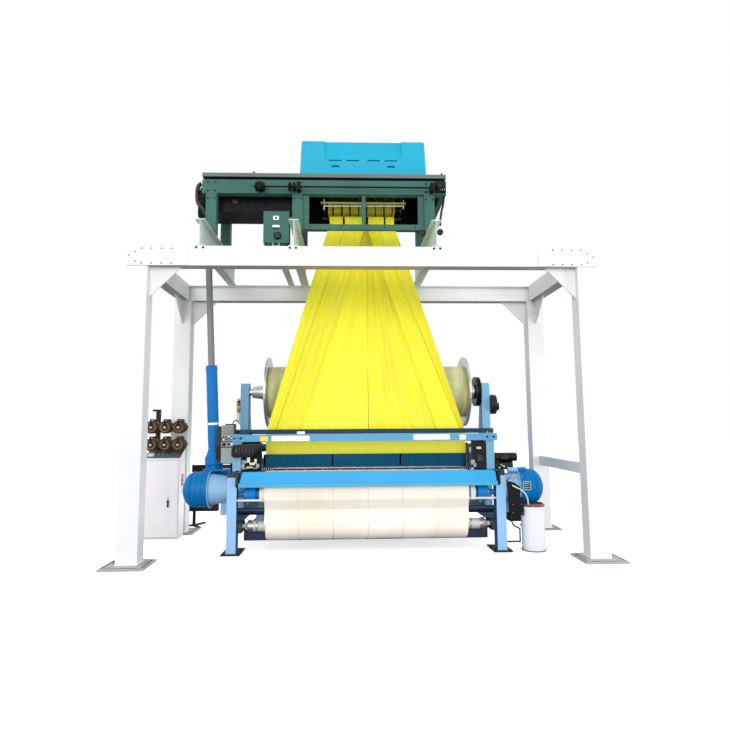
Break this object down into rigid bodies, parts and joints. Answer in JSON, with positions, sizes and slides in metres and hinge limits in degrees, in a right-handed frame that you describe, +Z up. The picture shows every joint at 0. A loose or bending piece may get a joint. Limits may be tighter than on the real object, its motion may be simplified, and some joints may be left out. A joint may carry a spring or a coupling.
{
  "type": "power loom",
  "caption": "Jacquard power loom for terry towelling, with its head on a steel gantry, a fan of harness cords, warp beams, cloth roll, weft feeders and control cabinet.",
  "frame": {"origin": "on the floor, in the middle of the machine's footprint", "axes": "+X along the cloth's width to the weaver's right, +Y from the weaver towards the warp beams, +Z up"},
  "size_m": [5.33, 2.9, 4.778],
  "materials": {
    "gantry_paint": "semi-gloss light grey paint",
    "green_paint": "semi-gloss green paint",
    "platform_paint": "pale grey-green paint",
    "hood_blue": "glossy light-blue moulding",
    "dark_case": "dark grey paint",
    "griffe_metal": "lightly oiled steel",
    "bright_steel": "ground steel",
    "dial_red": "moulded red dial",
    "harness_yellow": "bundle of yellow cords",
    "board_dark": "dark laminate",
    "loom_blue": "semi-gloss blue paint",
    "base_black": "black paint",
    "casting_blue": "dark blue painted casting",
    "cover_blue": "glossy light-blue paint",
    "rail_dark": "dark blue paint",
    "roller_blue": "blue rubber cover",
    "towel_cloth": "terry cloth",
    "beam_metal": "turned aluminium",
    "yarn_white": "wound cotton yarn",
    "drive_blue": "glossy blue paint",
    "tube_blue": "lavender-blue paint",
    "motor_black": "black enamel",
    "lamp_plastic": "moulded lamp segments",
    "stand_black": "black enamel",
    "feeder_orange": "moulded disc and drum",
    "cabinet_grey": "light grey powder coat",
    "latch_black": "moulded latch",
    "bin_white": "moulded white plastic"
  },
  "bodies": {
    "frame": {"front_left_post": "gantry_paint", "front_right_post": "gantry_paint", "rear_left_post": "gantry_paint", "rear_right_post": "gantry_paint", "front_beam": "gantry_paint", "rear_beam": "gantry_paint", "side_beams": "gantry_paint", "corner_gussets": "gantry_paint", "cross_beams": "green_paint", "head_frame": "green_paint", "control_box": "green_paint", "head_platform": "platform_paint", "head_hood": "hood_blue", "hook_case": "dark_case", "head_drive_boxes": "dark_case", "side_units": "dark_case", "harness_cords": "harness_yellow", "harness_curtain": "harness_yellow", "comber_board": "board_dark", "left_side_frame": "loom_blue", "right_side_frame": "loom_blue", "loom_legs": "loom_blue", "foot_plates": "base_black", "cross_members": "casting_blue", "loom_uprights": "casting_blue", "breast_cover": "cover_blue", "front_rail": "cover_blue", "upper_rail": "rail_dark", "cloth_sheet": "towel_cloth", "warp_sheets": "yarn_white", "selvedge_yarn": "yarn_white", "left_drive_housing": "drive_blue", "right_drive_housing": "drive_blue", "drive_cover_tube": "tube_blue", "drive_motors": "motor_black", "stack_lamp": "lamp_plastic", "yarn_stands": "stand_black", "cabinet_body": "cabinet_grey", "waste_bin": "bin_white"},
    "griffe_lower": {"griffe_lower": "griffe_metal"},
    "griffe_upper": {"griffe_upper": "griffe_metal"},
    "head_shaft": {"head_shaft": "bright_steel"},
    "cardan_shaft": {"cardan_shaft": "bright_steel"},
    "control_dial": {"control_dial": "dial_red"},
    "sley": {"sley": "casting_blue", "reed": "bright_steel"},
    "takeup_roller": {"takeup_roller": "roller_blue"},
    "cloth_roll": {"cloth_roll_shaft": "bright_steel", "cloth_roll": "towel_cloth"},
    "pile_beam": {"pile_beam": "beam_metal", "pile_yarn": "yarn_white"},
    "ground_beam": {"ground_beam": "beam_metal"},
    "cabinet_door": {"cabinet_door": "cabinet_grey"},
    "cabinet_latch": {"cabinet_latch": "latch_black"},
    "feeder_disc_1": {"feeder_disc_1": "feeder_orange"},
    "feeder_disc_2": {"feeder_disc_2": "feeder_orange"},
    "feeder_disc_3": {"feeder_disc_3": "feeder_orange"},
    "feeder_disc_4": {"feeder_disc_4": "feeder_orange"},
    "feeder_disc_5": {"feeder_disc_5": "feeder_orange"},
    "feeder_disc_6": {"feeder_disc_6": "feeder_orange"}
  },
  "joints": [
    {"name": "griffe_lower_lift", "type": "slide", "parent": "frame", "child": "griffe_lower", "axis": [0, 0, 1], "range_m": [-0.04, 0.04]},
    {"name": "griffe_upper_lift", "type": "slide", "parent": "frame", "child": "griffe_upper", "axis": [0, 0, 1], "range_m": [-0.04, 0.04]},
    {"name": "head_shaft_spin", "type": "hinge", "parent": "frame", "child": "head_shaft", "pos_m": [0, -0.915, 4.104], "axis": [1, 0, 0], "continuous": true},
    {"name": "cardan_spin", "type": "hinge", "parent": "frame", "child": "cardan_shaft", "pos_m": [-1.676, -0.48, 0.89], "axis": [-0.0495, 0, 0.9988], "continuous": true},
    {"name": "control_dial_turn", "type": "hinge", "parent": "frame", "child": "control_dial", "pos_m": [-0.931, -0.8665, 3.545], "axis": [0, -1, 0], "range_deg": [0, 90]},
    {"name": "sley_swing", "type": "hinge", "parent": "frame", "child": "sley", "pos_m": [0.08, -0.5, 0.4], "axis": [1, 0, 0], "range_deg": [-8, 7]},
    {"name": "takeup_spin", "type": "hinge", "parent": "frame", "child": "takeup_roller", "pos_m": [0.08, -0.757, 0.632], "axis": [1, 0, 0], "continuous": true},
    {"name": "cloth_roll_spin", "type": "hinge", "parent": "frame", "child": "cloth_roll", "pos_m": [0.08, -0.69, 0.276], "axis": [1, 0, 0], "continuous": true},
    {"name": "pile_beam_spin", "type": "hinge", "parent": "frame", "child": "pile_beam", "pos_m": [0.08, 0.5, 1.826], "axis": [1, 0, 0], "continuous": true},
    {"name": "ground_beam_spin", "type": "hinge", "parent": "frame", "child": "ground_beam", "pos_m": [0.08, 0.95, 0.56], "axis": [1, 0, 0], "continuous": true},
    {"name": "feeder_disc_1_spin", "type": "hinge", "parent": "frame", "child": "feeder_disc_1", "pos_m": [-2.582, 0.06, 1.368], "axis": [0, -1, 0], "continuous": true},
    {"name": "feeder_disc_2_spin", "type": "hinge", "parent": "frame", "child": "feeder_disc_2", "pos_m": [-2.415, 0.06, 1.368], "axis": [0, -1, 0], "continuous": true},
    {"name": "feeder_disc_3_spin", "type": "hinge", "parent": "frame", "child": "feeder_disc_3", "pos_m": [-2.248, 0.06, 1.368], "axis": [0, -1, 0], "continuous": true},
    {"name": "feeder_disc_4_spin", "type": "hinge", "parent": "frame", "child": "feeder_disc_4", "pos_m": [-2.582, 0.06, 1.152], "axis": [0, -1, 0], "continuous": true},
    {"name": "feeder_disc_5_spin", "type": "hinge", "parent": "frame", "child": "feeder_disc_5", "pos_m": [-2.415, 0.06, 1.152], "axis": [0, -1, 0], "continuous": true},
    {"name": "feeder_disc_6_spin", "type": "hinge", "parent": "frame", "child": "feeder_disc_6", "pos_m": [-2.248, 0.06, 1.152], "axis": [0, -1, 0], "continuous": true},
    {"name": "cabinet_door_swing", "type": "hinge", "parent": "frame", "child": "cabinet_door", "pos_m": [-2.665, 0.02, 0.45], "axis": [0, 0, -1], "range_deg": [0, 110]},
    {"name": "cabinet_latch_turn", "type": "hinge", "parent": "cabinet_door", "child": "cabinet_latch", "pos_m": [-2.352, 0.0135, 0.464], "axis": [0, -1, 0], "range_deg": [0, 90]}
  ],
  "couplings": [
    {"joint": "griffe_upper_lift", "follows": "griffe_lower_lift", "ratio": -1},
    {"joint": "head_shaft_spin", "follows": "cardan_spin", "ratio": 1},
    {"joint": "cloth_roll_spin", "follows": "takeup_spin", "ratio": 0.6}
  ]
}
